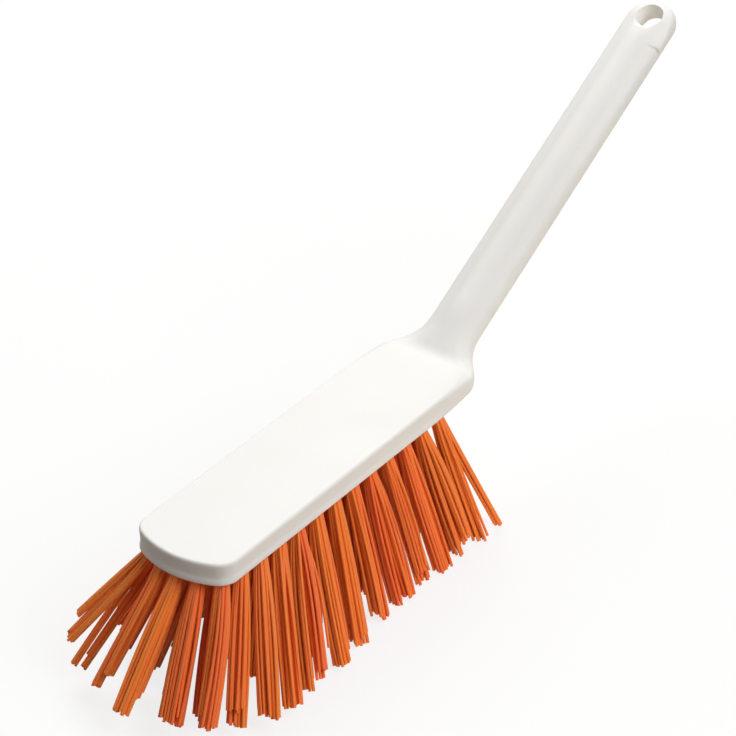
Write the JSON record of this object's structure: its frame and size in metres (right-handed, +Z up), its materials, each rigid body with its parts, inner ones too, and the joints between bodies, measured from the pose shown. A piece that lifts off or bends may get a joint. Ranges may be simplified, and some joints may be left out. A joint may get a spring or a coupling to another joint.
{
  "type": "hand broom",
  "caption": "Hand broom: white moulded block with an upswept handle and hanging hole, set with splayed rows of coarse orange bristle tufts.",
  "frame": {"origin": "bottom centre of the broom's box, on the level that its bristle tips stand on", "axes": "+X from the front of the block to the end of the handle, +Y across the block, +Z up"},
  "size_m": [0.4154, 0.1032, 0.1811],
  "materials": {
    "white_plastic": "satin moulded polypropylene, slightly warm white",
    "bristle": "coarse extruded filament with a dull sheen, orange",
    "anchor": "flat stainless anchor wire, cut bright"
  },
  "bodies": {
    "root": {"broom_body": "white_plastic", "tuft_near_outer_01": "bristle", "tuft_near_outer_02": "bristle", "tuft_near_outer_03": "bristle", "tuft_near_outer_04": "bristle", "tuft_near_outer_05": "bristle", "tuft_near_outer_06": "bristle", "tuft_near_outer_07": "bristle", "tuft_near_outer_08": "bristle", "tuft_near_outer_09": "bristle", "tuft_near_outer_10": "bristle", "tuft_near_outer_11": "bristle", "tuft_near_outer_12": "bristle", "tuft_near_outer_13": "bristle", "tuft_near_middle_01": "bristle", "tuft_near_middle_02": "bristle", "tuft_near_middle_03": "bristle", "tuft_near_middle_04": "bristle", "tuft_near_middle_05": "bristle", "tuft_near_middle_06": "bristle", "tuft_near_middle_07": "bristle", "tuft_near_middle_08": "bristle", "tuft_near_middle_09": "bristle", "tuft_near_middle_10": "bristle", "tuft_near_middle_11": "bristle", "tuft_centre_01": "bristle", "tuft_centre_02": "bristle", "tuft_centre_03": "bristle", "tuft_centre_04": "bristle", "tuft_centre_05": "bristle", "tuft_centre_06": "bristle", "tuft_centre_07": "bristle", "tuft_centre_08": "bristle", "tuft_centre_09": "bristle", "tuft_centre_10": "bristle", "tuft_centre_11": "bristle", "tuft_far_middle_01": "bristle", "tuft_far_middle_02": "bristle", "tuft_far_middle_03": "bristle", "tuft_far_middle_04": "bristle", "tuft_far_middle_05": "bristle", "tuft_far_middle_06": "bristle", "tuft_far_middle_07": "bristle", "tuft_far_middle_08": "bristle", "tuft_far_middle_09": "bristle", "tuft_far_middle_10": "bristle", "tuft_far_middle_11": "bristle", "tuft_far_outer_01": "bristle", "tuft_far_outer_02": "bristle", "tuft_far_outer_03": "bristle", "tuft_far_outer_04": "bristle", "tuft_far_outer_05": "bristle", "tuft_far_outer_06": "bristle", "tuft_far_outer_07": "bristle", "tuft_far_outer_08": "bristle", "tuft_far_outer_09": "bristle", "tuft_far_outer_10": "bristle", "tuft_far_outer_11": "bristle", "tuft_far_outer_12": "bristle", "tuft_far_outer_13": "bristle"}
  },
  "joints": []
}
